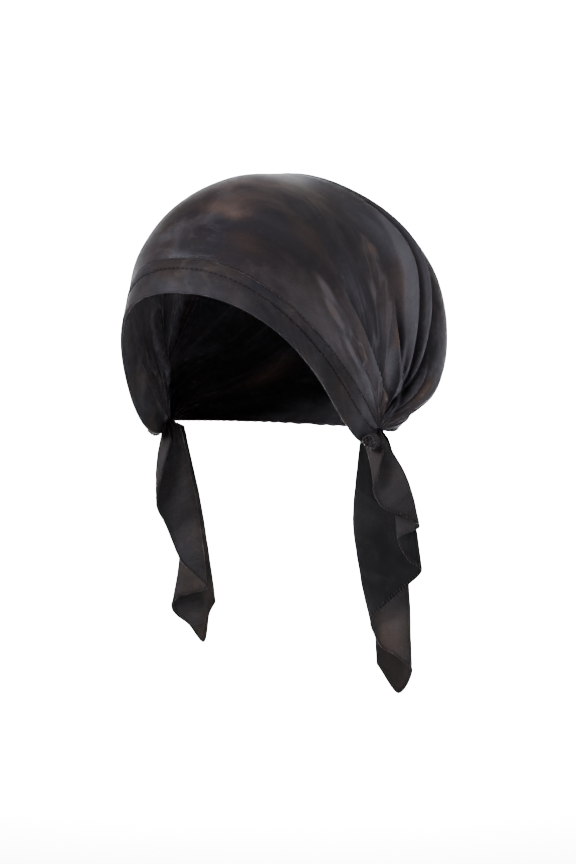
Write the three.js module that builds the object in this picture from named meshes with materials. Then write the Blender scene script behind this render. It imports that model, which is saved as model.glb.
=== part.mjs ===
// Turban cap, ready tied: a soft jersey cap that is gathered to a knot at each ear,
// with a ruffled tail hanging from each knot. It is modelled as it sits when worn.
// Millimetres. +Z is up, the brow faces -Y and the wearer's left is +X.
// The origin is on the inside of the crown, where it rests on the top of the head.
import * as THREE from "three";

// Driving sizes
const CROWN_WALL = 1.6;
const BAND_WALL = 2;
const TAIL_WALL = 1;
const PIECE_GAP = 1;
const GATHER = { x: 74, y: 16, z: -152.3 };
const GATHER_HOLE_RADIUS = 4.5;
const GATHER_FUNNEL = 22;
const BAND_DEPTH = 20;
const NAPE_LINE = 400;
const CROWN_COLUMNS = 52;
const BAND_COLUMNS = 4;
const SIDE_TO_SIDE_STEPS = 32;

// Lines of the cap's inner face that run from gather to gather over the head. Each row gives
// where a line crosses the middle, how wide it is there and how square its arch is.
// "along" is the cloth's length from the brow edge, "turn" fans the line out at the gather.
const ARCHES = {
  columns: ["along", "y", "z", "half_width", "square", "turn"],
  rows: [
    [0, -90, -65.8, 74, 2.3, -90],
    [14, -86.5, -52.8, 74.5, 2.25, -40],
    [20, -84, -47.8, 75, 2.3, 0],
    [45, -70, -28.3, 76.5, 2.45, 4],
    [75, -47, -11.2, 77, 2.35, 4],
    [110, -15, -1.2, 77.5, 2.2, 2],
    [145, 20, 0.6, 78, 2.1, 0],
    [180, 55, -2.2, 82.5, 2.35, 0],
    [215, 88.5, -15.5, 92, 2.6, 0],
    [250, 116, -40.5, 98.5, 2.6, 0],
    [285, 125, -74, 98.5, 2.4, 0],
    [320, 118, -104.5, 91.5, 2.35, 0],
    [350, 99, -127.5, 84, 2.5, 0],
    [380, 77.5, -145, 81, 2.7, 0],
    [400, 61, -154.3, 77, 2.8, 0],
  ],
};

// How far the lines of the cloth swing back at the sides.
const SIDE_SWING = {
  columns: ["line", "back"],
  rows: [
    [0, 0],
    [20, 0],
    [75, 12],
    [110, 24],
    [145, 42],
    [180, 62],
    [215, 66],
    [250, 60],
    [300, 38],
    [350, 16],
    [400, 0],
  ],
};

// Valleys between the folds that run up from each gather. "front" and "rear" are the widths
// of the slopes, "reach" is how far from the gather a valley still shows at all.
const VALLEYS = {
  columns: ["line", "depth", "front", "rear", "reach", "fade"],
  rows: [
    [81, 3, 12, 8, 105, 60],
    [141, 3.2, 5, 5, 92, 45],
    [151.5, 1.8, 4, 4, 78, 40],
    [161.5, 3.4, 4.5, 4.5, 120, 50],
    [172, 3.4, 4, 11, 122, 55],
    [206, 3, 13, 12, 80, 45],
    [240, 4, 14, 13, 90, 50],
    [275, 4.5, 15, 14, 80, 45],
    [310, 4.5, 15, 14, 75, 40],
    [345, 3.2, 13, 12, 70, 40],
    [375, 1.8, 10, 10, 60, 40],
  ],
};

// Hems of the two tails, from the front of the knot, zigzagging behind itself down to the end.
// "across" is to the right and "out" towards someone in front and to the wearer's left,
// "down" is below the knot and "bulge" bows the cloth sideways halfway up to the knot.
const LEFT_HEM = {
  columns: ["across", "down", "out", "bulge"],
  rows: [
    [4, 6, 10.5, 0],
    [0.5, 20, 13, 0],
    [-2, 31, 11.5, 0],
    [4, 41, 9, 0.5],
    [15, 45.5, 8.5, 1],
    [25.5, 52.5, 7, 1.5],
    [13, 60, 4.5, 1],
    [19, 73, 1.5, 1.5],
    [27, 80.5, -1, 2],
    [16, 92, -4.5, -2],
    [5, 102, -6, -6],
    [-2.5, 112, -10, -9.5],
    [3, 128, -14.5, -7],
    [13, 135, -16, -1],
    [22, 145, -18.5, 3],
    [14, 158.5, -22.5, 0],
    [1, 141, -26, -2],
  ],
};
const RIGHT_HEM = {
  columns: ["across", "down", "out", "bulge"],
  rows: [
    [3, 8, 14, 0],
    [-3, 30, 17, -1],
    [-6, 48, 15.5, -2],
    [0, 62, 12.5, -2],
    [8.5, 83, 11, -1],
    [17, 92, 9.5, 1],
    [25, 101.5, 7, 2],
    [15, 105, 3.5, 4],
    [6.5, 108, 1.5, 6],
    [3, 114.5, -1.5, 6.5],
    [5, 120, -4, 5],
    [13, 126.5, -5, 2],
    [22.5, 138, -7.5, 2],
    [26, 121, -11, 3],
    [30, 113, -13.5, 2],
  ],
};
const TAIL_TURN = 30;
const TAIL_LENGTHWAYS_STEPS = 8;
const TAIL_STEPS_PER_ROW = 3;
const TAIL_TOP_SPREAD = { left: 0.5, right: 0.34 };
const TAIL_TOP_SHIFT = { left: -7.5, right: 0 };
const TAIL_TOP_DEPTH = 0.5;

// Knots: short ruched rolls of cloth that hide the gathers.
const KNOT = { thick: 4.6, wide: 5, high: 5, ruches: 9, ruche_depth: 0.4 };
const KNOT_PLACE = { left: [81.4, -5.8, -158.5], right: [-79.8, 6.6, -159] };
const TAIL_TOP = { left: [78.4, 7.4, -156.3], right: [-76, 16, -156.3] };

// Reading the tables
function column(table, name) {
  const place = table.columns.indexOf(name);
  return table.rows.map((row) => row[place]);
}

function smooth(xs, ys, x) {
  const last = xs.length - 1;
  const at = Math.min(Math.max(x, xs[0]), xs[last]);
  let i = 0;
  while (i < last - 1 && at > xs[i + 1]) {
    i += 1;
  }
  const slope = (k) => {
    const a = Math.max(k - 1, 0);
    const b = Math.min(k + 1, last);
    return (ys[b] - ys[a]) / (xs[b] - xs[a]);
  };
  const h = xs[i + 1] - xs[i];
  const t = (at - xs[i]) / h;
  const t2 = t * t;
  const t3 = t2 * t;
  return (
    (2 * t3 - 3 * t2 + 1) * ys[i] +
    (t3 - 2 * t2 + t) * h * slope(i) +
    (3 * t2 - 2 * t3) * ys[i + 1] +
    (t3 - t2) * h * slope(i + 1)
  );
}

function ease(x) {
  const t = Math.min(Math.max(x, 0), 1);
  return t * t * (3 - 2 * t);
}

function readArch(along) {
  const xs = column(ARCHES, "along");
  const value = (name) => smooth(xs, column(ARCHES, name), along);
  const dy = value("y") - GATHER.y;
  const dz = value("z") - GATHER.z;
  return {
    reach: Math.hypot(dy, dz),
    angle: Math.atan2(dz, -dy),
    halfWidth: value("half_width"),
    square: value("square"),
    turn: THREE.MathUtils.degToRad(value("turn")),
  };
}

// One point of the smooth cap before it is folded. "swing" goes from 0 at the wearer's left
// gather to pi at the right one.
function smoothPoint(along, swing) {
  const arch = readArch(along);
  const power = 2 / arch.square;
  const rise = Math.pow(Math.sin(swing), power);
  const side = Math.cos(swing);
  const fromGather = arch.reach * rise;
  const pinch = 1 - (1 - GATHER.x / arch.halfWidth) * Math.exp(-((fromGather / GATHER_FUNNEL) ** 2));
  const angle = arch.angle + arch.turn * Math.exp(-rise / 0.2);
  const point = new THREE.Vector3(
    arch.halfWidth * Math.sign(side) * Math.pow(Math.abs(side), power) * pinch,
    GATHER.y - fromGather * Math.cos(angle),
    GATHER.z + fromGather * Math.sin(angle),
  );
  return { point, fromGather };
}

function valleyDepth(line, fromGather) {
  let depth = 0;
  for (const [at, deepest, front, rear, reach, fade] of VALLEYS.rows) {
    const slope = line < at ? front : rear;
    const shape = Math.exp(-(Math.abs((line - at) / slope) ** 1.5));
    depth += deepest * shape * ease((reach - fromGather) / fade);
  }
  return depth * Math.pow(Math.min(1, fromGather / 62), 1.35);
}

// A point of the folded cap at a line of the cloth, and how far off the inner face it lies.
function capPoint(line, swing, off) {
  const swingBack = smooth(column(SIDE_SWING, "line"), column(SIDE_SWING, "back"), line);
  const along = line + swingBack * ease(Math.abs(Math.cos(swing)) / 0.85);
  const { point, fromGather } = smoothPoint(along, swing);
  const nextAlong = smoothPoint(along + 0.5, swing).point.sub(point);
  const nextAcross = smoothPoint(along, swing + 0.004).point.sub(smoothPoint(along, swing - 0.004).point);
  const outward = nextAlong.cross(nextAcross).normalize();
  return point.addScaledVector(outward, off - valleyDepth(line, fromGather));
}

function swingAt(line, share) {
  const arch = readArch(line);
  const start = Math.asin(Math.pow(GATHER_HOLE_RADIUS / arch.reach, arch.square / 2));
  const even = share - 0.05 * Math.sin(4 * Math.PI * share);
  return start + (Math.PI - 2 * start) * even;
}

// A closed sheet of cloth from two faces that are grids of the same size.
function sheetGeometry(acrossSteps, alongSteps, facePoint) {
  const rowLength = alongSteps + 1;
  const faceSize = (acrossSteps + 1) * rowLength;
  const positions = [];
  for (const face of [1, 0]) {
    for (let i = 0; i <= acrossSteps; i += 1) {
      for (let j = 0; j <= alongSteps; j += 1) {
        positions.push(...facePoint(i, j, face).toArray());
      }
    }
  }
  const faces = [];
  const quad = (a, b, c, d) => faces.push(a, b, c, a, c, d);
  const outer = (i, j) => i * rowLength + j;
  const inner = (i, j) => faceSize + i * rowLength + j;
  for (let i = 0; i < acrossSteps; i += 1) {
    for (let j = 0; j < alongSteps; j += 1) {
      quad(outer(i, j), outer(i + 1, j), outer(i + 1, j + 1), outer(i, j + 1));
      quad(inner(i, j), inner(i, j + 1), inner(i + 1, j + 1), inner(i + 1, j));
    }
  }
  for (let i = 0; i < acrossSteps; i += 1) {
    quad(outer(i, 0), inner(i, 0), inner(i + 1, 0), outer(i + 1, 0));
    quad(outer(i + 1, alongSteps), inner(i + 1, alongSteps), inner(i, alongSteps), outer(i, alongSteps));
  }
  for (let j = 0; j < alongSteps; j += 1) {
    quad(outer(0, j + 1), inner(0, j + 1), inner(0, j), outer(0, j));
    quad(outer(acrossSteps, j), inner(acrossSteps, j), inner(acrossSteps, j + 1), outer(acrossSteps, j + 1));
  }
  return facingOut(positions, faces);
}

function facingOut(positions, faces) {
  const corner = (k) => new THREE.Vector3(positions[3 * k], positions[3 * k + 1], positions[3 * k + 2]);
  let volume = 0;
  for (let k = 0; k < faces.length; k += 3) {
    volume += corner(faces[k]).dot(corner(faces[k + 1]).cross(corner(faces[k + 2])));
  }
  if (volume < 0) {
    for (let k = 0; k < faces.length; k += 3) {
      [faces[k + 1], faces[k + 2]] = [faces[k + 2], faces[k + 1]];
    }
  }
  const geometry = new THREE.BufferGeometry();
  geometry.setAttribute("position", new THREE.Float32BufferAttribute(positions, 3));
  geometry.setIndex(faces);
  geometry.computeVertexNormals();
  return geometry;
}

const turban = new THREE.Group();
turban.name = "turban_cap";

function addPiece(name, geometry, colour, roughness) {
  const material = new THREE.MeshStandardMaterial({ color: colour, roughness, metalness: 0 });
  material.name = name;
  const piece = new THREE.Mesh(geometry, material);
  piece.name = name;
  turban.add(piece);
}

// Crown: the gathered body of the cap, from the seam behind the brow band to the nape hem.
// Its columns stand closer together where the folds are steep.
function crownLines() {
  const first = BAND_DEPTH + PIECE_GAP / 2;
  const crowding = (line) => {
    let sum = 1;
    for (const [at, , front, rear] of VALLEYS.rows) {
      sum += (32 / (front + rear)) * Math.exp(-(((1.5 * (line - at)) / (front + rear)) ** 2));
    }
    return sum;
  };
  const samples = 760;
  const totals = [0];
  const step = (NAPE_LINE - first) / samples;
  for (let k = 0; k < samples; k += 1) {
    totals.push(totals[k] + crowding(first + (k + 0.5) * step));
  }
  const lines = [];
  let k = 0;
  for (let i = 0; i <= CROWN_COLUMNS; i += 1) {
    const wanted = (totals[samples] * i) / CROWN_COLUMNS;
    while (k < samples - 1 && totals[k + 1] < wanted) {
      k += 1;
    }
    const share = (wanted - totals[k]) / (totals[k + 1] - totals[k]);
    lines.push(first + (k + share) * step);
  }
  return lines;
}

const lines = crownLines();
const crownGeometry = sheetGeometry(CROWN_COLUMNS, SIDE_TO_SIDE_STEPS, (i, j, face) =>
  capPoint(lines[i], swingAt(lines[i], j / SIDE_TO_SIDE_STEPS), face * CROWN_WALL),
);
addPiece("crown", crownGeometry, 0x37363a, 0.82);

// Brow band: the folded and stitched front edge, a little thicker than the crown.
const bandGeometry = sheetGeometry(BAND_COLUMNS, SIDE_TO_SIDE_STEPS, (i, j, face) => {
  const line = ((BAND_DEPTH - PIECE_GAP / 2) * i) / BAND_COLUMNS;
  return capPoint(line, swingAt(line, j / SIDE_TO_SIDE_STEPS), face * BAND_WALL);
});
addPiece("brow_band", bandGeometry, 0x323135, 0.8);

// Knots: ruched rolls of cloth, one over each gather.
function knotGeometry(place) {
  const around = 20;
  const rings = 9;
  const positions = [];
  const faces = [];
  const point = (turn, tilt) => {
    const ruche = 1 - (KNOT.ruche_depth / KNOT.wide) * (1 + Math.cos(KNOT.ruches * turn)) * Math.sin(tilt);
    return [
      place[0] + KNOT.thick * Math.cos(tilt),
      place[1] + KNOT.wide * ruche * Math.sin(tilt) * Math.cos(turn),
      place[2] + KNOT.high * ruche * Math.sin(tilt) * Math.sin(turn),
    ];
  };
  positions.push(...point(0, 0));
  for (let ring = 1; ring < rings; ring += 1) {
    for (let k = 0; k < around; k += 1) {
      positions.push(...point((2 * Math.PI * k) / around, (Math.PI * ring) / rings));
    }
  }
  positions.push(...point(0, Math.PI));
  const end = 1 + (rings - 1) * around;
  const at = (ring, k) => 1 + (ring - 1) * around + (k % around);
  for (let k = 0; k < around; k += 1) {
    faces.push(0, at(1, k), at(1, k + 1));
    faces.push(end, at(rings - 1, k + 1), at(rings - 1, k));
    for (let ring = 1; ring < rings - 1; ring += 1) {
      faces.push(at(ring, k), at(ring + 1, k), at(ring + 1, k + 1));
      faces.push(at(ring, k), at(ring + 1, k + 1), at(ring, k + 1));
    }
  }
  return facingOut(positions, faces);
}
addPiece("knot_left", knotGeometry(KNOT_PLACE.left), 0x2b2a2e, 0.84);
addPiece("knot_right", knotGeometry(KNOT_PLACE.right), 0x2b2a2e, 0.84);

// Tails: the cloth hangs from the knot in lines that end on the zigzag hem.
function tailPoint(hem, side, row, share) {
  const rows = hem.rows.map((unused, k) => k);
  const value = (name) => smooth(rows, column(hem, name), row);
  const top = TAIL_TOP[side];
  const spread = TAIL_TOP_SPREAD[side];
  const across = value("across") * (spread + (1 - spread) * share) + TAIL_TOP_SHIFT[side] * (1 - share) ** 2;
  const bulge = value("bulge") * Math.sin(Math.PI * share);
  const out = value("out") * (TAIL_TOP_DEPTH + (1 - TAIL_TOP_DEPTH) * share);
  const turn = THREE.MathUtils.degToRad(TAIL_TURN);
  return new THREE.Vector3(
    top[0] + (across + bulge) * Math.cos(turn) + out * Math.sin(turn),
    top[1] + (across + bulge) * Math.sin(turn) - out * Math.cos(turn),
    top[2] - value("down") * share,
  );
}

function tailGeometry(hem, side) {
  const steps = (hem.rows.length - 1) * TAIL_STEPS_PER_ROW;
  return sheetGeometry(steps, TAIL_LENGTHWAYS_STEPS, (i, j, face) => {
    const row = i / TAIL_STEPS_PER_ROW;
    const share = j / TAIL_LENGTHWAYS_STEPS;
    const point = tailPoint(hem, side, row, share);
    const nextAcross = tailPoint(hem, side, row + 0.02, share).sub(tailPoint(hem, side, row - 0.02, share));
    const nextDown = tailPoint(hem, side, row, share + 0.01).sub(tailPoint(hem, side, row, share - 0.01));
    const normal = nextAcross.cross(nextDown).normalize();
    return point.addScaledVector(normal, (face - 0.5) * TAIL_WALL);
  });
}
addPiece("tail_left", tailGeometry(LEFT_HEM, "left"), 0x3a393d, 0.82);
addPiece("tail_right", tailGeometry(RIGHT_HEM, "right"), 0x3f3b3d, 0.82);

export default turban;
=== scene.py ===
# Turban cap, ready tied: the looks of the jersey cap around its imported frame.
# Sizes below are millimetres in the row's frame unless they say otherwise.
import math
import bpy
import numpy as np
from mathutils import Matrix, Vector


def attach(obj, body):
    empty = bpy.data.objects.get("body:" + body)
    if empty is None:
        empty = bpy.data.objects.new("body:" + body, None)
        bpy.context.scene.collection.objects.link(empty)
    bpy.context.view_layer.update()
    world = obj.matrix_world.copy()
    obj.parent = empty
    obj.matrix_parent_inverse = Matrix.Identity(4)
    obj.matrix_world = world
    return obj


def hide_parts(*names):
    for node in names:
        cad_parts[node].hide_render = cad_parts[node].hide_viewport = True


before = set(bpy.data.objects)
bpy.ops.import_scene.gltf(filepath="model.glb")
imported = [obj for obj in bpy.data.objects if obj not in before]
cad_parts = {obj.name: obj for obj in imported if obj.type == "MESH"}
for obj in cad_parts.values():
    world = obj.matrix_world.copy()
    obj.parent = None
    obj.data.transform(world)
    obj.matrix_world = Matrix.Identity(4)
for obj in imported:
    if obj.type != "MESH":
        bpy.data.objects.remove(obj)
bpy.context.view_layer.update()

# Camera
# The photograph looks from 30 degrees to the cap's own left and a little from above,
# from about 1.8 m away. The cap sits near the middle of the frame, so there is no shift.
VIEW_TURN, VIEW_RISE, VIEW_DISTANCE = math.radians(30), math.radians(5), 1.8
VIEW_TARGET = Vector((0.0177, 0.0059, -0.1548))
view_back = Vector((
    math.sin(VIEW_TURN) * math.cos(VIEW_RISE),
    -math.cos(VIEW_TURN) * math.cos(VIEW_RISE),
    math.sin(VIEW_RISE),
))
camera_data = bpy.data.cameras.new("camera")
camera_data.sensor_width = 36
camera_data.lens = 123
camera = bpy.data.objects.new("camera", camera_data)
camera.location = VIEW_TARGET + view_back * VIEW_DISTANCE
camera.rotation_mode = "QUATERNION"
camera.rotation_quaternion = (-view_back).to_track_quat("-Z", "Y")
bpy.context.collection.objects.link(camera)
bpy.context.scene.camera = camera

# Crown
# The real piece is one panel of cotton jersey, tie-dyed charcoal and brown and gathered
# hard at each side, so that its folds run up from the gathers and fade over the top.
# At the nape its edge is turned in as a casing and stitched down.


def named(columns, rows):
    """A short table as one array for each named column."""
    values = np.array(rows, float)
    return {name: values[:, k] for k, name in enumerate(columns.split())}


def each_row(table):
    """The rows of such a table, as one dictionary each."""
    return [dict(zip(table, values)) for values in zip(*table.values())]


# Arches run over the cap from gather to gather. "along" is the distance from the front edge,
# "y" and "z" the top of the arch, and "turn" how far its foot is drawn round at the gather.
ARCHES = named("along y z half_width square turn", [
    (0, -90, -65.8, 74, 2.3, -120),
    (14, -86.5, -52.8, 74.5, 2.25, -42),
    (20, -84, -47.8, 75, 2.3, 0),
    (45, -70, -28.3, 76.5, 2.45, 4),
    (75, -47, -11.2, 77, 2.35, 4),
    (110, -15, -1.2, 77.5, 2.2, 2),
    (145, 20, 0.6, 78, 2.1, 0),
    (180, 55, -2.2, 82.5, 2.35, 0),
    (215, 88.5, -15.5, 92, 2.6, 0),
    (250, 116, -40.5, 98.5, 2.6, 0),
    (285, 125, -74, 98.5, 2.4, 0),
    (320, 118, -104.5, 91.5, 2.35, 0),
    (350, 99, -127.5, 84, 2.5, 0),
    (380, 77.5, -145, 81, 2.7, 0),
    (400, 61, -154.3, 77, 2.8, 0),
])
# How far each line of the cloth swings back at the sides.
SIDE_SWING = named("line back", [
    (0, 0), (20, 0), (75, 12), (110, 24), (145, 42), (180, 62),
    (215, 66), (250, 60), (300, 38), (350, 16), (400, 0),
])
SIDE_SHARE = 0.85
# Folds: heights above the smooth cap, with valleys below zero. "start" and "reach" are the
# distances from the gather where a fold begins and ends, and "bend" draws its foot backwards.
FOLDS = named("line bend height front rear start reach fade", [
    (36, 0, 1.0, 9, 9, 0, 120, 60),
    (48, 120, -2.2, 2.5, 9, 0, 70, 35),
    (73, 205, 2.3, 15, 3.2, 0, 105, 45),
    (80, 205, -4.2, 3.2, 13, 0, 104, 50),
    (92, 40, 1.3, 6, 2.6, 50, 112, 40),
    (112, 110, 1.0, 14, 12, 0, 120, 70),
    (131, 30, 1.2, 9, 3.5, 60, 150, 55),
    (136.6, 80, 3.0, 11, 1.6, 0, 92, 45),
    (139.6, 80, -4.4, 1.5, 7, 0, 90, 40),
    (147.4, 0, 1.6, 4, 1.4, 0, 66, 30),
    (150.2, 0, -2.2, 1.3, 4, 0, 64, 30),
    (155.6, -25, 4.0, 10, 1.8, 0, 165, 60),
    (158.9, -25, -4.0, 1.4, 5, 0, 150, 60),
    (167.4, -60, 2.4, 5, 1.1, 0, 180, 50),
    (169.9, -60, -4.4, 1.2, 10, 0, 150, 60),
    (171.5, 0, 2.4, 6, 2.5, 0, 62, 30),
    (176, 0, -2.4, 2.4, 8, 0, 56, 30),
    (205, 0, 0.9, 9, 9, 0, 80, 50),
    (243, 0, -1.2, 11, 12, 0, 74, 50),
    (279, 0, -1.1, 13, 12, 0, 66, 45),
    (312, 0, -0.9, 13, 13, 0, 60, 40),
    (345, 0, -0.7, 12, 11, 0, 54, 35),
    (374, 0, -0.5, 9, 9, 0, 46, 30),
])
BEND_REACH, FOLD_START, FOLDS_FULL_AT = 17, 25, 50
CREST_POWER = 1.5
RIGHT_SHIFT, RIGHT_SHIFT_WAVE = 3.5, 23
# Small pleats between them, packed closest at the gather: wavelength, height and reach.
PLEATS = named("wave height reach drift", [
    (26.3, 0.4, 70, 0.12),
    (15.1, 0.26, 40, -0.08),
    (8.7, 0.14, 24, 0.05),
])
PLEATS_FULL_AT, PLEAT_WOBBLE, PLEAT_WOBBLE_WAVE = 16, 2.6, 19
GATHER = (74.0, 16.0, -152.3)
GATHER_FUNNEL, GATHER_HOLE, GATHER_CROWD = 22, 0.8, 0.05
TURN_FADE = 0.2
LINE_STEP, SWING_STEP = 0.5, 0.004


def smooth(xs, ys, x):
    """A smooth curve through the points of a table."""
    slopes = np.gradient(ys, xs)
    slopes[1:-1] = (ys[2:] - ys[:-2]) / (xs[2:] - xs[:-2])
    x = np.clip(x, xs[0], xs[-1])
    i = np.clip(np.searchsorted(xs, x, side="right") - 1, 0, len(xs) - 2)
    h = xs[i + 1] - xs[i]
    t = (x - xs[i]) / h
    return (
        ys[i] * (1 + 2 * t) * (1 - t) ** 2
        + slopes[i] * h * t * (1 - t) ** 2
        + ys[i + 1] * t * t * (3 - 2 * t)
        + slopes[i + 1] * h * t * t * (t - 1)
    )


def ease(x):
    """From 0 to 1 with soft ends."""
    x = np.clip(x, 0, 1)
    return x * x * (3 - 2 * x)


def unit(v):
    return v / (np.linalg.norm(v, axis=-1, keepdims=True) + 1e-12)


def bell(x):
    return np.exp(-(x ** 2))


def lengths_along(path):
    """How far along a path each of its points lies."""
    return np.concatenate([[0], np.linalg.norm(np.diff(path, axis=0), axis=1).cumsum()])


def at_lengths(lengths, run, path):
    """The points of a path at these lengths along it."""
    return np.stack([np.interp(lengths, run, path[:, k]) for k in range(3)], -1)


def wander(p, seed, scale, octaves=3):
    """Soft made-up noise from a few seeded waves, about -1 to 1."""
    rng = np.random.default_rng(seed)
    total = np.zeros(p.shape[:-1])
    for octave in range(octaves):
        for wave in range(5):
            direction = unit(rng.normal(size=3))
            phase = rng.uniform(0, 6.28)
            total += np.sin(p @ direction * (2 * np.pi * 1.9 ** octave / scale) + phase) / (1.8 ** octave * 4)
    return total


def swung(line, swing):
    """Where on the arches a line of the cloth lies, as it swings back at the sides."""
    back = smooth(SIDE_SWING["line"], SIDE_SWING["back"], line)
    return line + back * ease(np.abs(np.cos(swing)) / SIDE_SHARE)


def smooth_cap(along, swing):
    """Points of the cap without folds, and their distances from the gather."""
    y, z, half, square, turn = (
        smooth(ARCHES["along"], ARCHES[name], along) for name in ("y", "z", "half_width", "square", "turn")
    )
    dy, dz = y - GATHER[1], z - GATHER[2]
    rise = np.abs(np.sin(swing)) ** (2 / square)
    side = np.cos(swing)
    reach = np.hypot(dy, dz) * rise
    pinch = 1 - (1 - GATHER[0] / half) * bell(reach / GATHER_FUNNEL)
    angle = np.arctan2(dz, -dy) + np.radians(turn) * np.exp(-rise / TURN_FADE)
    x = half * np.sign(side) * np.abs(side) ** (2 / square) * pinch
    return np.stack([x, GATHER[1] - reach * np.cos(angle), GATHER[2] + reach * np.sin(angle)], -1), reach


def fold_height(line, reach, right_side):
    """Folds of the crown. Its right side gets slightly different ones."""
    shifted = line + np.where(right_side, RIGHT_SHIFT * np.sin(line / RIGHT_SHIFT_WAVE), 0)
    total = np.zeros_like(reach)
    for fold in each_row(FOLDS):
        off_crest = shifted - fold["line"] - fold["bend"] * np.exp(-reach / BEND_REACH)
        width = np.where(off_crest < 0, fold["front"], fold["rear"])
        shape = np.exp(-np.abs(off_crest / width) ** CREST_POWER)
        begun = ease((reach - fold["start"]) / FOLD_START) if fold["start"] > 0 else 1
        total += fold["height"] * shape * ease((fold["reach"] - reach) / fold["fade"]) * begun
    total *= np.minimum(1, reach / FOLDS_FULL_AT)
    for k, pleat in enumerate(each_row(PLEATS)):
        wobble = PLEAT_WOBBLE * np.sin(line / PLEAT_WOBBLE_WAVE + k) + 2 * pleat["drift"] * reach
        strength = ease((pleat["reach"] - reach) / pleat["reach"]) * np.minimum(1, reach / PLEATS_FULL_AT)
        total += pleat["height"] * strength * np.cos(2 * np.pi * (line + wobble) / pleat["wave"] + k)
    return total


def cap_point(line, swing, off, folded=1.0):
    """Folded points of the cap, "off" millimetres outside its inner face."""
    along = swung(line, swing)
    point, reach = smooth_cap(along, swing)
    ahead, _ = smooth_cap(along + LINE_STEP, swing)
    left, _ = smooth_cap(along, swing - SWING_STEP)
    right, _ = smooth_cap(along, swing + SWING_STEP)
    outward = unit(np.cross(ahead - point, right - left))
    slack = 0.5 * wander(point, seed=4, scale=95) * ease((reach - 20) / 60)
    lift = off + folded * (fold_height(line, reach, np.cos(swing) < 0) + slack)
    return point + outward * lift[..., None]


def swing_at(line, share):
    """Even steps from the left gather to the right one, starting at the rim of its hole."""
    y, z, square = (smooth(ARCHES["along"], ARCHES[name], line) for name in ("y", "z", "square"))
    arch = np.hypot(y - GATHER[1], z - GATHER[2])
    start = np.arcsin((GATHER_HOLE / arch) ** (square / 2))
    return start + (np.pi - 2 * start) * (share - GATHER_CROWD * np.sin(4 * np.pi * share))


# Places where the lines of the mesh stand closer together, for the folds, the seam and the hem.
CROWDS = named("line width times sharp", [
    (122, 57, 2.6, 4),
    (20.3, 1.6, 6, 2),
    (393, 8, 1.2, 4),
])


def crowded(first, last, count):
    """Steps from first to last that stand closer together where the crowds say."""
    fine = np.linspace(first, last, 4000)
    crowd = np.ones_like(fine)
    for c in each_row(CROWDS):
        crowd += c["times"] * np.exp(-np.abs((fine - c["line"]) / c["width"]) ** c["sharp"])
    total = np.concatenate([[0], np.cumsum((crowd[1:] + crowd[:-1]) / 2)])
    return np.interp(np.linspace(0, total[-1], count + 1), total, fine)


def sewn_on(name, mesh, material):
    """The mesh as a piece of the cap, smooth and with its material."""
    mesh.shade_smooth()
    mesh.materials.append(material)
    piece = bpy.data.objects.new(name, mesh)
    bpy.context.collection.objects.link(piece)
    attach(piece, "root")
    return piece


def cloth_lengths(points):
    """How far each point lies along the two ways of its grid, for the weave."""
    down = np.linalg.norm(np.diff(points, axis=0, prepend=points[:1]), axis=-1).cumsum(0)
    across = np.linalg.norm(np.diff(points, axis=1, prepend=points[:, :1]), axis=-1).cumsum(1)
    return np.stack([down, across], -1)


def cloth_piece(name, outer, inner, material, flat=None):
    """A closed sheet from two grids of points. Its UV map "cloth" has the lengths along the
    gathered piece, for the knit, and "flat" has the places on the flat cloth, for the dye."""
    rows, columns = outer.shape[:2]
    index = np.arange(rows * columns).reshape(rows, columns)
    a, b, c, d = index[:-1, :-1], index[1:, :-1], index[1:, 1:], index[:-1, 1:]
    front = np.stack([a, b, c, d], -1).reshape(-1, 4)
    behind = np.stack([a, d, c, b], -1).reshape(-1, 4) + rows * columns
    edge = np.concatenate([index[:, 0], index[-1, 1:], index[-2::-1, -1], index[0, -2:0:-1]])
    following = np.roll(edge, -1)
    rim = np.stack([following, edge, edge + rows * columns, following + rows * columns], -1)
    faces = np.concatenate([front, behind, rim])
    points = np.concatenate([outer.reshape(-1, 3), inner.reshape(-1, 3)]) / 1000
    p = points[front]
    tilt = np.cross(p[:, 1] - p[:, 0], p[:, 3] - p[:, 0])
    gap = (outer - inner).reshape(-1, 3)[front[:, 0]]
    if (tilt * gap).sum() < 0:
        faces = faces[:, ::-1]
    mesh = bpy.data.meshes.new(name)
    mesh.from_pydata(points.tolist(), [], faces.tolist())
    corners = np.empty(len(mesh.loops), np.int32)
    mesh.loops.foreach_get("vertex_index", corners)
    lengths = cloth_lengths(outer)
    for map_name, places in (("cloth", lengths), ("flat", lengths if flat is None else flat)):
        layer = mesh.uv_layers.new(name=map_name)
        layer.data.foreach_set("uv", (np.tile(places.reshape(-1, 2), (2, 1)) / 1000)[corners].ravel())
    return sewn_on(name, mesh, material)


def set_dye_and_painted_light(piece, bleach_and_highlight, brown, held=0):
    """How much lighter each point of both faces is, from thin dye and painted highlights,
    how much browner it is, and how much painted shade darkens it."""
    for name, values in (("bleach_and_highlight", bleach_and_highlight), ("brown", brown), ("held", held + 0 * bleach_and_highlight)):
        layer = piece.data.attributes.new(name, "FLOAT", "POINT")
        layer.data.foreach_set("value", np.tile(values.ravel(), 2).astype(np.float32))


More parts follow.
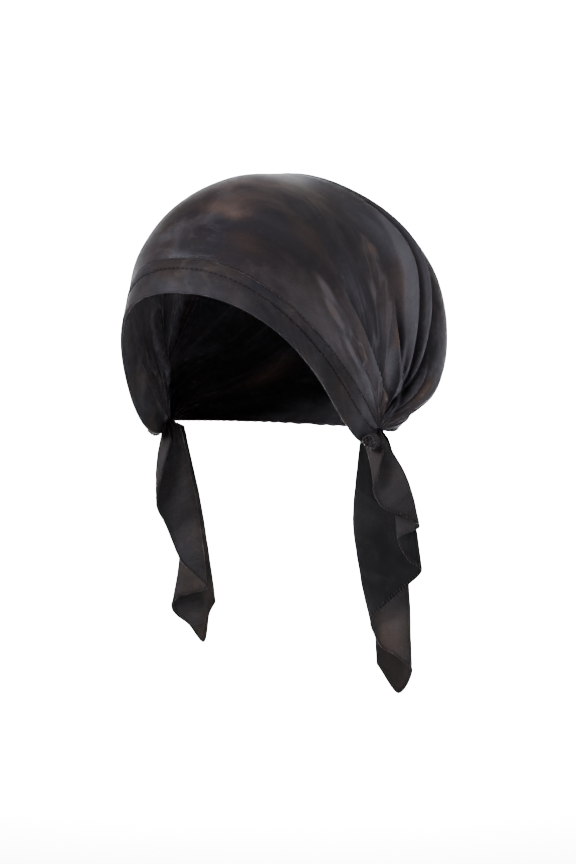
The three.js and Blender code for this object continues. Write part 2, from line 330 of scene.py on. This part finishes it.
def jersey(name, dark, rusty, light, brown, cloud=0.5, vein=0.5):
    """Tie-dyed jersey: a dark ground that wanders from purple black to rusty black, cloudy light
    dye from noise and from the piece's own patches, which also carry painted highlights, painted shade from the
    piece's own mark, and fine knitted ribs and fuzz in the bump."""
    material = bpy.data.materials.new(name)
    material.use_nodes = True
    nodes, links = material.node_tree.nodes, material.node_tree.links
    shader = nodes["Principled BSDF"]

    def add(kind, **values):
        """A node with these settings. A value that comes out of another node is linked."""
        node = nodes.new(kind)
        for key, value in values.items():
            if key not in node.inputs:
                setattr(node, key, value)
            elif isinstance(value, bpy.types.NodeSocket):
                links.new(value, node.inputs[key])
            else:
                node.inputs[key].default_value = value
        return node

    def worked(operation, *values, use_clamp=False):
        node = add("ShaderNodeMath", operation=operation, use_clamp=use_clamp)
        for socket, value in zip(node.inputs, values):
            if isinstance(value, bpy.types.NodeSocket):
                links.new(value, socket)
            else:
                socket.default_value = value
        return node.outputs[0]

    def ranged(value, low, high, bottom, top):
        ends = {"From Min": low, "From Max": high, "To Min": bottom, "To Max": top}
        return add("ShaderNodeMapRange", Value=value, **ends).outputs["Result"]

    def mixed(first, second, share):
        return add("ShaderNodeMix", data_type="RGBA", A=first, B=second, Factor=share).outputs["Result"]

    def scaled(colour, times):
        node = add("ShaderNodeVectorMath", operation="SCALE", Scale=times)
        links.new(colour, node.inputs[0])
        return node.outputs["Vector"]

    def marked(mark):
        return add("ShaderNodeAttribute", attribute_name=mark).outputs["Fac"]

    cloth = add("ShaderNodeUVMap", uv_map="cloth").outputs["UV"]
    flat = add("ShaderNodeUVMap", uv_map="flat").outputs["UV"]
    space = add("ShaderNodeTexCoord").outputs["Object"]

    def clouds(scale, stretch, offset, low, high, top, bottom=0, line_at=None):
        """Cloudy noise on the flat cloth, drawn out along the way the dye ran. With line_at it
        is thin wandering lines instead, where the noise passes that value."""
        shift = add("ShaderNodeMapping", Vector=flat, Location=offset, Scale=(1, stretch, 1), Rotation=(0, 0, 0.35))
        drawn = shift.outputs["Vector"]
        noise = add("ShaderNodeTexNoise", Vector=drawn, Scale=scale, Detail=5, Roughness=0.58, Distortion=0.8)
        value = noise.outputs["Fac"]
        if line_at is not None:
            value = worked("ABSOLUTE", worked("SUBTRACT", value, line_at))
        return ranged(value, low, high, bottom, top)

    cloudy = clouds(30, 0.5, (0.3, 0.1, 0), 0.43, 0.72, cloud)
    warm = clouds(21, 0.6, (2.1, 1.7, 0), 0.47, 0.66, 1)
    rust = clouds(13, 0.7, (5.2, 3.1, 0), 0.42, 0.7, 1)
    ink = clouds(17, 0.55, (1.3, 6.1, 0), 0.36, 0.64, 1.2, 0.72)
    vein_lines = clouds(12, 0.6, (4.4, 0.9, 0), 0, 0.022, 0, vein, line_at=0.52)
    vein_places = clouds(9, 1, (7.3, 2.2, 0), 0.42, 0.62, 1)
    browned = marked("brown")
    # The piece's lightness mark lightens the dye; on the crown and the band it also holds painted highlights.
    lightened = worked("ADD", worked("MULTIPLY_ADD", vein_lines, vein_places, cloudy), marked("bleach_and_highlight"))
    tint = mixed((*light, 1), (*brown, 1), worked("ADD", warm, browned, use_clamp=True))
    ground = mixed((*dark, 1), (*rusty, 1), worked("ADD", rust, browned, use_clamp=True))
    dyed = scaled(mixed(ground, tint, lightened), ink)
    # Painted shade: the colour is darkened, down to 0.3 of itself, where the piece marks shade.
    with_painted_shade = scaled(dyed, ranged(marked("held"), 0, 1, 1, 0.3))
    flecks = add("ShaderNodeTexNoise", Vector=cloth, Scale=1400, Detail=2).outputs["Fac"]
    links.new(scaled(with_painted_shade, ranged(flecks, 0.3, 0.7, 0.82, 1.14)), shader.inputs["Base Color"])

    ribs = add("ShaderNodeTexWave", wave_type="BANDS", bands_direction="X", Vector=cloth)
    for key, value in (("Scale", 420), ("Distortion", 1.2), ("Detail", 1)):
        ribs.inputs[key].default_value = value
    fuzz = add("ShaderNodeTexNoise", Vector=cloth, Scale=900, Detail=3)
    slack = add("ShaderNodeTexNoise", Vector=space, Scale=62, Detail=2)
    bumps = add("ShaderNodeBump", Height=ribs.outputs["Fac"], Strength=0.35, Distance=0.00008)
    for relief, strength, deep in ((fuzz, 0.4, 0.00012), (slack, 0.35, 0.0012)):
        under = bumps.outputs["Normal"]
        bumps = add("ShaderNodeBump", Height=relief.outputs["Fac"], Normal=under, Strength=strength, Distance=deep)
    links.new(bumps.outputs["Normal"], shader.inputs["Normal"])
    for key, value in {
        "Roughness": 0.6, "Specular IOR Level": 0.05, "Sheen Weight": 0.05,
        "Sheen Roughness": 0.45, "Sheen Tint": (0.86, 0.84, 0.9, 1),
    }.items():
        shader.inputs[key].default_value = value
    return material


# Patches where the dye is thin, with painted highlights among them: where they lie on the cloth, how far they
# spread along and across the folds, and how light and how brown they are.
CROWN_DYE_AND_HIGHLIGHTS = named("line swing along across light brown", [
    (61, 87, 5, 14, 0.24, 1.1),
    (56, 79, 4.5, 10, 0.3, 1.1),
    (66, 80, 9, 18, 0.12, 0.5),
    (105, 90, 34, 60, 0, 0.8),
    (53, 36, 3.2, 10, 1.7, 0.1),
    (46, 30, 2.8, 10, 1.9, 0.5),
    (41, 19, 3.2, 8, 1.6, 0.3),
    (131, 43, 2.4, 4, 0.9, 0.6),
    (120, 32, 2.6, 5, 0.9, 0),
    (50, 115, 3.5, 13, 0.4, -0.3),
    (36, 100, 3, 14, 0.35, -0.4),
    (22, 91, 3, 9, 0.35, -0.4),
    (120, 72, 10, 26, 0.15, 1),
    (75, 53, 8, 16, 0.15, 1),
    (39, 70, 6, 18, 0.12, 1),
    (60, 15, 6, 7, 0.3, 0.1),
    (137, 17, 3, 8, 0.5, 0.7),
    # The next five rows are painted highlights: the blue-grey light on the crests of the folds at lines 155 and 167
    # and on the ridges by the gather.
    (154.5, 42, 5, 30, 2.1, -1),
    (153.5, 25, 5, 28, 2.5, -1),
    (140, 11, 16, 13, 1.9, -1),
    (166, 30, 3, 70, 1.1, -1),
    (90, 14, 12, 14, 0.6, -1),
    (48, 9, 20, 12, 1.1, -0.4),
    (186, 8, 8, 7, 0.9, 1),
    (194, 24, 18, 46, 1.3, -0.1),
    (95, 34, 12, 20, 0.1, -0.8),
    (143, 50, 9, 26, 0.2, -0.8),
    (128, 22, 7, 14, 0.2, -0.6),
    # The last three rows paint light onto the back of the crown.
    (240, 100, 20, 30, 0.5, 0.6),
    (300, 60, 24, 26, 0.5, 0.2),
    (330, 120, 20, 30, 0.4, 0.8),
])
DYE_ARCH = 150


def patch_dye_and_highlights(table, line, swing):
    """How light and how brown the patches make each point of the cloth."""
    bleach_and_highlight, brown = np.zeros_like(line), np.zeros_like(line)
    for patch in each_row(table):
        aside = (swing - np.radians(patch["swing"])) * DYE_ARCH / patch["across"]
        shape = np.exp(-(((line - patch["line"]) / patch["along"]) ** 2 + aside ** 2))
        bleach_and_highlight = np.maximum(bleach_and_highlight, patch["light"] * shape)
        brown = brown + patch["brown"] * np.minimum(1, 1.5 * shape)
    return bleach_and_highlight, brown


def thread(name, colour):
    """Twisted sewing thread, a plain dark polyester with a little gloss."""
    material = bpy.data.materials.new(name)
    material.use_nodes = True
    nodes, links = material.node_tree.nodes, material.node_tree.links
    shader = nodes["Principled BSDF"]
    noise = nodes.new("ShaderNodeTexNoise")
    noise.inputs["Scale"].default_value = 2600
    place = nodes.new("ShaderNodeTexCoord")
    links.new(place.outputs["Object"], noise.inputs["Vector"])
    twist = nodes.new("ShaderNodeMix")
    twist.data_type = "RGBA"
    for side, shade in (("A", 0.6), ("B", 1.5)):
        twist.inputs[side].default_value = (*[c * shade for c in colour], 1)
    links.new(noise.outputs["Fac"], twist.inputs["Factor"])
    links.new(twist.outputs["Result"], shader.inputs["Base Color"])
    shader.inputs["Roughness"].default_value = 0.7
    shader.inputs["Specular IOR Level"].default_value = 0.1
    return material


def thread_piece(name, paths, radius, material, sides=6):
    """Round threads along open paths, with thinner ends."""
    points, faces, start = [], [], 0
    angles = np.arange(sides) * 2 * np.pi / sides
    for path in paths:
        along = unit(np.gradient(path, axis=0))
        side = unit(np.cross(along, (0.21, 0.35, 0.91)))
        other = np.cross(along, side)
        thick = np.sqrt(np.clip(1 - np.linspace(-1, 1, len(path)) ** 8, 0.1, 1)) * radius
        ring = np.cos(angles)[None, :, None] * side[:, None] + np.sin(angles)[None, :, None] * other[:, None]
        points.append((path[:, None] + ring * thick[:, None, None]).reshape(-1, 3))
        for i in range(len(path) - 1):
            for j in range(sides):
                k = (j + 1) % sides
                a = start + i * sides
                faces.append((a + j, a + k, a + sides + k, a + sides + j))
        faces.append(tuple(start + j for j in reversed(range(sides))))
        faces.append(tuple(start + (len(path) - 1) * sides + j for j in range(sides)))
        start += len(path) * sides
    mesh = bpy.data.meshes.new(name)
    mesh.from_pydata((np.concatenate(points) / 1000).tolist(), [], faces)
    return sewn_on(name, mesh, material)


STITCHED_SHARE = (0.015, 0.985)
STITCH_SHARE = 0.74
STITCH_DIP = (0.32, 0, -0.06, 0, 0.32)
CAP_CENTRE = (0, 10, -70)


def stitch_row(line_at, off, pitch, folded):
    """Short straight stitches along one line of the cap, from gather to gather."""
    shares = np.linspace(*STITCHED_SHARE, 2400)
    lines = np.full_like(shares, line_at)
    path = cap_point(lines, swing_at(lines, shares), np.full_like(shares, off), folded)
    run = lengths_along(path)
    paths = []
    for begin in np.arange(0, run[-1] - pitch, pitch):
        stitch = at_lengths(np.linspace(begin, begin + pitch * STITCH_SHARE, len(STITCH_DIP)), run, path)
        paths.append(stitch - unit(stitch - np.array(CAP_CENTRE)) * np.array(STITCH_DIP)[:, None])
    return paths


CROWN_WALL, CROWN_FIRST_LINE, NAPE_LINE = 1.6, 20.3, 400
CROWN_GRID = (318, 148)
CROWN_DYE_WIDTH = 430
CASING_LINE, NAPE_STITCH_LINE = 386, 387
crown_jersey = jersey(
    "crown_jersey", dark=(0.0134, 0.0120, 0.0162), rusty=(0.0180, 0.0128, 0.0136),
    light=(0.056, 0.054, 0.065), brown=(0.078, 0.054, 0.049), cloud=0.45,
)
dark_thread = thread("dark_thread", (0.0025, 0.0024, 0.0028))
crown_lines = crowded(CROWN_FIRST_LINE, NAPE_LINE, CROWN_GRID[0])
line, share = np.meshgrid(crown_lines, np.linspace(0, 1, CROWN_GRID[1] + 1), indexing="ij")
swing = swing_at(line, share)
from_seam = line - CROWN_FIRST_LINE
seam_roll = 0.55 * bell(from_seam / 0.7) - 0.35 * bell(from_seam / 5)
casing = 0.5 * ease((line - CASING_LINE) / 3) + 0.35 * ease((line - CASING_LINE) / 4) * np.sin(swing * 75)
hem_roll = 1.1 * bell((line - NAPE_LINE) / 1.2)
outer = cap_point(line, swing, CROWN_WALL - seam_roll + casing - hem_roll)
inner = cap_point(line, swing, np.zeros_like(line))
crown_flat = np.stack([line, (share - 0.5) * CROWN_DYE_WIDTH], -1)
crown = cloth_piece("crown_cloth", outer, inner, crown_jersey, crown_flat)
# Painted highlights on the fold crests and painted shade in the fold valleys, both from the fold heights, added to
# the dye patches.
bleach_and_highlight, brown = patch_dye_and_highlights(CROWN_DYE_AND_HIGHLIGHTS, line, swing)
_, reach = smooth_cap(swung(line, swing), swing)
relief = fold_height(line, reach, np.cos(swing) < 0)
bleach_and_crest_highlight = bleach_and_highlight * np.clip(1 + 0.45 * relief, 0.3, 1.3) + 0.13 * np.clip(relief, 0, 2.5)
set_dye_and_painted_light(crown, bleach_and_crest_highlight, brown, held=np.clip(-0.3 * relief, 0, 1))
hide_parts("crown")
nape_row = stitch_row(NAPE_STITCH_LINE, CROWN_WALL + 0.35, pitch=3.3, folded=1)
nape_stitches = thread_piece("nape_stitches", nape_row, 0.2, dark_thread)

# Brow band
# The real band is the crown's front edge, turned under and coverstitched 14 mm up, with a
# second row of stitches at its seam. It is a little thicker than the crown and lies flat.
BAND_WALL, BAND_FOLDED = 2.0, 0.25
BAND_GRID = (44, 150)
HEM_STITCH_LINE, SEAM_LINE, SEAM_STITCH_LINE = 14, 20, 21.3
FRONT_ROLL, FRONT_ROLL_WIDTH = 0.95, 1.2
band_jersey = jersey(
    "band_jersey", dark=(0.0108, 0.0100, 0.0132), rusty=(0.0142, 0.0106, 0.0112),
    light=(0.046, 0.044, 0.053), brown=(0.060, 0.045, 0.040), cloud=0.35, vein=0.25,
)
band_lines = np.linspace(0, SEAM_LINE - 0.15, BAND_GRID[0] + 1)
line, share = np.meshgrid(band_lines, np.linspace(0, 1, BAND_GRID[1] + 1), indexing="ij")
swing = swing_at(line, share)
hem_share = np.clip(line / HEM_STITCH_LINE, 0, 1)
seam_share = np.clip((line - HEM_STITCH_LINE) / (SEAM_LINE - HEM_STITCH_LINE), 0, 1)
puff = 0.25 * np.sin(np.pi * hem_share) + 0.18 * np.sin(np.pi * seam_share)
groove = 0.35 * bell((line - HEM_STITCH_LINE) / 0.6) + 0.5 * bell((line - SEAM_LINE) / 0.7)
front_roll = FRONT_ROLL * (1 - np.sqrt(np.clip(1 - (1 - np.clip(line / FRONT_ROLL_WIDTH, 0, 1)) ** 2, 0, 1)))
pucker = 0.12 * np.sin(swing * 150 / 3.4 * 2) * bell((line - HEM_STITCH_LINE) / 2.4)
outer = cap_point(line, swing, BAND_WALL + puff - groove - front_roll + pucker, BAND_FOLDED)
inner = cap_point(line, swing, front_roll * 0.95, BAND_FOLDED)
band = cloth_piece("brow_band_cloth", outer, inner, band_jersey)
# Painted highlights at the two ends, beside the gathers: lighter and less brown there.
ends = bell(np.minimum(share, 1 - share) / 0.07)
blotches = 0.22 * ease(wander(outer, seed=12, scale=30))
end_highlights = 0.9 * ends * ease(0.6 + wander(outer, seed=15, scale=22))
set_dye_and_painted_light(band, blotches + end_highlights, 0.7 * wander(outer, seed=14, scale=34) - ends)
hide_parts("brow_band")
band_rows = stitch_row(HEM_STITCH_LINE, BAND_WALL + 0.1, pitch=3.1, folded=BAND_FOLDED)
band_rows += stitch_row(SEAM_STITCH_LINE, CROWN_WALL + 0.05, pitch=3.1, folded=1)
band_stitches = thread_piece("band_stitches", band_rows, 0.22, dark_thread)

# Knots
# Each gather is wrapped by a short ruched roll of the same jersey, sewn down, with the end of
# the roll curled up in front of it.
KNOT = {"thick": 4.4, "wide": 4.6, "high": 4.6, "back": 2.2, "up": 1.6, "core": 0.8}
KNOT_PLACE = {"left": (81.4, -5.8, -158.5), "right": (-79.8, 6.6, -159)}
KNOT_GRID = (48, 96)
CURL = {"turns": 1.6, "start": 1.1, "inside": 0.9, "outside": 3.3, "deep": 6.0, "wall": 0.9, "lift": 2.4}
CURL_GRID = (160, 15)
knot_jersey = jersey(
    "knot_jersey", dark=(0.0085, 0.0080, 0.0096), rusty=(0.0110, 0.0085, 0.0085),
    light=(0.034, 0.033, 0.038), brown=(0.045, 0.033, 0.028),
)
for side, place in KNOT_PLACE.items():
    tilt_steps = np.linspace(0.02, np.pi - 0.02, KNOT_GRID[0] + 1)
    turn_steps = np.linspace(0, 2 * np.pi, KNOT_GRID[1] + 1)
    tilt, turn = np.meshgrid(tilt_steps, turn_steps, indexing="ij")
    twist = turn + 1.3 * np.cos(tilt)
    wide_ruches = 0.085 * np.cos(9 * twist + 1.2 * np.sin(3 * tilt)) * np.sin(tilt)
    ruche = 1 + wide_ruches + 0.03 * np.cos(17 * twist + 2)
    centre = np.array(place) + (0, KNOT["back"], KNOT["up"])
    points = centre + np.stack([
        KNOT["thick"] * ruche * np.cos(tilt),
        KNOT["wide"] * ruche * np.sin(tilt) * np.cos(turn),
        KNOT["high"] * ruche * np.sin(tilt) * np.sin(turn),
    ], -1)
    core = centre + (points - centre) * KNOT["core"]
    knot = cloth_piece(f"knot_{side}_cloth", points, core, knot_jersey)
    set_dye_and_painted_light(knot, 0.2 + 0 * tilt, 0 * tilt)
    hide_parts(f"knot_{side}")

    mirror = 1 if side == "left" else -1
    steps = np.linspace(0, 1, CURL_GRID[0]), np.linspace(-0.5, 0.5, CURL_GRID[1])
    wind, deep = np.meshgrid(*steps, indexing="ij")
    angle = mirror * (CURL["start"] + wind * CURL["turns"] * 2 * np.pi)
    radius = CURL["inside"] + (CURL["outside"] - CURL["inside"]) * wind ** 0.8
    radius = radius + 0.28 * np.sin(wind * 41) * (0.3 + np.abs(deep)) + 0.12 * np.sin(wind * 77 + 9 * deep)
    out = deep * CURL["deep"] * (0.75 + 0.25 * wind) + 0.45 * np.sin(wind * 52) * np.abs(deep) * 2
    walls = []
    for wall in (0, CURL["wall"]):
        sideways, up = (radius + wall) * np.cos(angle), (radius + wall) * 0.95 * np.sin(angle)
        walls.append(np.stack([
            place[0] - 0.6 * mirror + sideways * math.cos(VIEW_TURN) + out * mirror * 0.5,
            place[1] - 1.0 + sideways * math.sin(VIEW_TURN) * mirror - out * 0.87,
            place[2] + CURL["lift"] + up,
        ], -1))
    curl = cloth_piece(f"knot_{side}_curl", walls[1], walls[0], knot_jersey)
    set_dye_and_painted_light(curl, 0.25 + 0 * wind, 0.2 + 0 * wind)
    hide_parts(f"knot_{side}")

# Tails
# Each tail is a bias-cut ruffle of the same jersey with an overlocked edge. It hangs from the
# knot in a cascade, so its hem zigzags down behind itself.
HEMS = {
    "left": named("across down out bulge", [
        (4, 6, 10.5, 0),
        (0.5, 20, 13, 0),
        (-2, 31, 11.5, 0),
        (4, 41, 9, 0.5),
        (15, 45.5, 8.5, 1),
        (25.5, 52.5, 7, 1.5),
        (13, 60, 4.5, 1),
        (19, 73, 1.5, 1.5),
        (27, 80.5, -1, 2),
        (16, 92, -4.5, -2),
        (5, 102, -6, -6),
        (-2.5, 112, -10, -9.5),
        (3, 128, -14.5, -7),
        (13, 135, -16, -1),
        (22, 145, -18.5, 3),
        (14, 158.5, -22.5, 0),
        (1, 141, -26, -2),
    ]),
    "right": named("across down out bulge", [
        (3, 8, 14, 0),
        (-3, 30, 17, -1),
        (-6, 48, 15.5, -2),
        (0, 62, 12.5, -2),
        (8.5, 83, 11, -1),
        (17, 92, 9.5, 1),
        (25, 101.5, 7, 2),
        (15, 105, 3.5, 4),
        (6.5, 108, 1.5, 6),
        (3, 114.5, -1.5, 6.5),
        (5, 120, -4, 5),
        (13, 126.5, -5, 2),
        (22.5, 138, -7.5, 2),
        (26, 121, -11, 3),
        (30, 113, -13.5, 2),
    ]),
}
# How light and how brown each row of the hem is, and how much painted shade darkens it.
TAIL_DYE_AND_SHADE = {
    "left": named("row light brown held", [
        (0, 0.25, 0.4, 0), (3, 0.35, 0.1, 0), (5.5, 0.3, 0, 0), (7, 0, -0.5, 0.7), (10, 0, -0.6, 0.7),
        (11.5, 0.1, 0, 0.1), (13, 0.6, 0.2, 0), (14.2, 0.1, 0.3, 0.3), (16, -0.1, 0.7, 0.3),
    ]),
    "right": named("row light brown held", [
        (0, 0.2, 0.2, 0), (4, 0.35, 0, 0), (7, 0.3, 0.5, 0), (10, 0.15, 0, 0), (14, 0.3, 0.5, 0),
    ]),
}
TAIL_TOP = {"left": (78.4, 7.4, -156.3), "right": (-76, 16, -156.3)}
TAIL_TOP_SPREAD = {"left": 0.5, "right": 0.34}
TAIL_TOP_SHIFT = {"left": -7.5, "right": 0}
TAIL_TURN, TAIL_TOP_DEPTH = math.radians(30), 0.5
TAIL_NECK, TAIL_NECK_DRAWN = 0.16, 0.84
TAIL_WALL, TAIL_GRID, TAIL_NECK_ROWS = 1.0, (250, 56), 12
OVERLOCK = {"pitch": 2.1, "inset": 1.15, "wide": 1.4, "thick": 0.85, "step": 0.28, "radius": 0.27}


def tail_point(side, row, share):
    """Lines from the knot to the hem. Above share 0 they draw together into the gather."""
    hem, top, spread = HEMS[side], np.array(TAIL_TOP[side]), TAIL_TOP_SPREAD[side]
    rows = np.arange(len(hem["down"]), dtype=float)
    across, down, out, bulge = (smooth(rows, hem[name], row) for name in ("across", "down", "out", "bulge"))
    hung = np.clip(share, 0, 1)
    across = across * (spread + (1 - spread) * hung) + TAIL_TOP_SHIFT[side] * (1 - hung) ** 2
    across = across + bulge * np.sin(np.pi * hung)
    out = out * (TAIL_TOP_DEPTH + (1 - TAIL_TOP_DEPTH) * hung)
    point = np.stack([
        top[0] + across * math.cos(TAIL_TURN) + out * math.sin(TAIL_TURN),
        top[1] + across * math.sin(TAIL_TURN) - out * math.cos(TAIL_TURN),
        top[2] - down * hung,
    ], -1)
    mirror = 1 if side == "left" else -1
    neck = np.array([mirror * (GATHER[0] + 2.2), GATHER[1] - 2, GATHER[2] + 2.5])
    drawn = ease(np.clip(-share / TAIL_NECK, 0, 1))[..., None] * TAIL_NECK_DRAWN
    return point + (neck - point) * drawn


def tail_face(side, row, share, off=0.0):
    """Points of the tail, "off" millimetres beside its middle, with creases below the knot."""
    point = tail_point(side, row, share)
    across = tail_point(side, row + 0.02, share) - tail_point(side, row - 0.02, share)
    down = tail_point(side, row, share + 0.01) - tail_point(side, row, share - 0.01)
    normal = unit(np.cross(across, down))
    crease = 0.55 * np.cos(row * 5.1 + 1.4 * np.sin(share * 4)) * np.exp(-np.maximum(share, 0) / 0.22)
    crease = crease + 0.35 * wander(point, seed=21, scale=34)
    return point + normal * (off + crease)[..., None]


tail_jersey = jersey(
    "tail_jersey", dark=(0.0058, 0.0055, 0.0066), rusty=(0.0078, 0.0060, 0.0060),
    light=(0.036, 0.033, 0.038), brown=(0.050, 0.036, 0.032), cloud=0.1, vein=0.15,
)
overlock_thread = thread("overlock_thread", (0.012, 0.0105, 0.0105))
for side, hem in HEMS.items():
    last_row = len(hem["down"]) - 1
    neck_shares = np.linspace(-TAIL_NECK, 0, TAIL_NECK_ROWS + 1)[:-1]
    shares = np.concatenate([neck_shares, np.linspace(0, 1, TAIL_GRID[1] + 1)])
    row, share = np.meshgrid(np.linspace(0, last_row, TAIL_GRID[0] + 1), shares, indexing="ij")
    outer, inner = (tail_face(side, row, share, off * TAIL_WALL) for off in (0.5, -0.5))
    tail = cloth_piece(f"tail_{side}_cloth", outer, inner, tail_jersey)
    dye_and_shade = TAIL_DYE_AND_SHADE[side]
    lightened, browned, held = (smooth(dye_and_shade["row"], dye_and_shade[name], row) for name in ("light", "brown", "held"))
    lightened = lightened + 0.12 * wander(outer, seed=31, scale=45)
    browned = browned + 0.3 * wander(outer, seed=33, scale=60)
    # Painted shade, strongest by the knot and weaker down the tail.
    set_dye_and_painted_light(tail, lightened, browned, held * np.clip(1.15 - share, 0, 1))
    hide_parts(f"tail_{side}")

    at = np.linspace(0.02, last_row - 0.02, 4000)
    edge = tail_face(side, at, np.full_like(at, 0.998))
    into = unit(tail_face(side, at, np.full_like(at, 0.96)) - edge)
    run = lengths_along(edge)
    steps = np.arange(0, run[-1], OVERLOCK["step"])
    edge, into = at_lengths(steps, run, edge), at_lengths(steps, run, into)
    normal = unit(np.cross(np.gradient(edge, axis=0), into))
    turns = steps / OVERLOCK["pitch"] * 2 * np.pi
    helix = edge + into * (OVERLOCK["inset"] + OVERLOCK["wide"] * np.cos(turns))[:, None]
    helix = helix + normal * (OVERLOCK["thick"] * np.sin(turns))[:, None]
    edging = thread_piece(f"overlock_{side}", [helix], OVERLOCK["radius"], overlock_thread, sides=5)

# Floor, backdrop and light
# A plain pale paper sweep, well below the cap, which keeps its worn shape in the air.
# The key light comes from the picture's left and the fill from its right, and three
# lamps behind the cap keep the paper white.
SWEEP = [(-2.2, -0.62), (1.9, -0.62), (2.4, -0.57), (2.75, -0.42), (2.95, -0.15), (3.0, 0.2), (3.0, 2.6)]
SWEEP_HALF_WIDTH = 4
view_right = Vector((math.cos(VIEW_TURN), math.sin(VIEW_TURN), 0))
level_back = Vector((math.sin(VIEW_TURN), -math.cos(VIEW_TURN), 0))
corners, quads = [], []
for k, (deep, high) in enumerate(SWEEP):
    for wide in (-SWEEP_HALF_WIDTH, SWEEP_HALF_WIDTH):
        corner = view_right * wide - level_back * deep
        corners.append((corner.x, corner.y, high))
    if k:
        quads.append((2 * k - 2, 2 * k - 1, 2 * k + 1, 2 * k))
paper = bpy.data.materials.new("paper")
paper.use_nodes = True
paper.node_tree.nodes["Principled BSDF"].inputs["Base Color"].default_value = (0.93, 0.93, 0.93, 1)
paper.node_tree.nodes["Principled BSDF"].inputs["Roughness"].default_value = 0.9
sweep_mesh = bpy.data.meshes.new("sweep")
sweep_mesh.from_pydata(corners, [], quads)
sweep_mesh.shade_smooth()
sweep_mesh.materials.append(paper)
sweep = bpy.data.objects.new("sweep", sweep_mesh)
bpy.context.collection.objects.link(sweep)

world = bpy.data.worlds.new("studio")
bpy.context.scene.world = world
world.use_nodes = True
world.node_tree.nodes["Background"].inputs["Color"].default_value = (1, 1, 1, 1)
world.node_tree.nodes["Background"].inputs["Strength"].default_value = 0.18


def soft_box(name, place, size, power, aim=(0, 0, 0), spread=180):
    """A square soft light: place and aim are to the right, up and towards the camera, in metres."""
    light = bpy.data.lights.new(name, "AREA")
    light.size = size
    light.energy = power
    light.spread = math.radians(spread)
    lamp = bpy.data.objects.new(name, light)
    spot, target = (
        VIEW_TARGET + view_right * p[0] + Vector((0, 0, p[1])) + level_back * p[2] for p in (place, aim)
    )
    lamp.location = spot
    lamp.rotation_mode = "QUATERNION"
    lamp.rotation_quaternion = (target - spot).to_track_quat("-Z", "Y")
    bpy.context.collection.objects.link(lamp)


soft_box("key", (-1.2, 0.75, 1.05), size=0.4, power=66)
soft_box("rim", (-1.5, 0.3, -0.3), size=0.7, power=3.5)
soft_box("top", (0.5, 1.5, 0.3), size=0.7, power=3)
soft_box("fill", (1.35, 0.3, 0.75), size=0.6, power=21)
soft_box("floor", (0, 1.3, -1.6), size=1.2, power=170, aim=(0, -0.5, -1.6), spread=60)
for wide in (-0.9, 0.9):
    soft_box("backdrop", (wide, 0.75, -1.9), size=0.7, power=190, aim=(-wide * 0.2, -0.05, -3.0), spread=110)
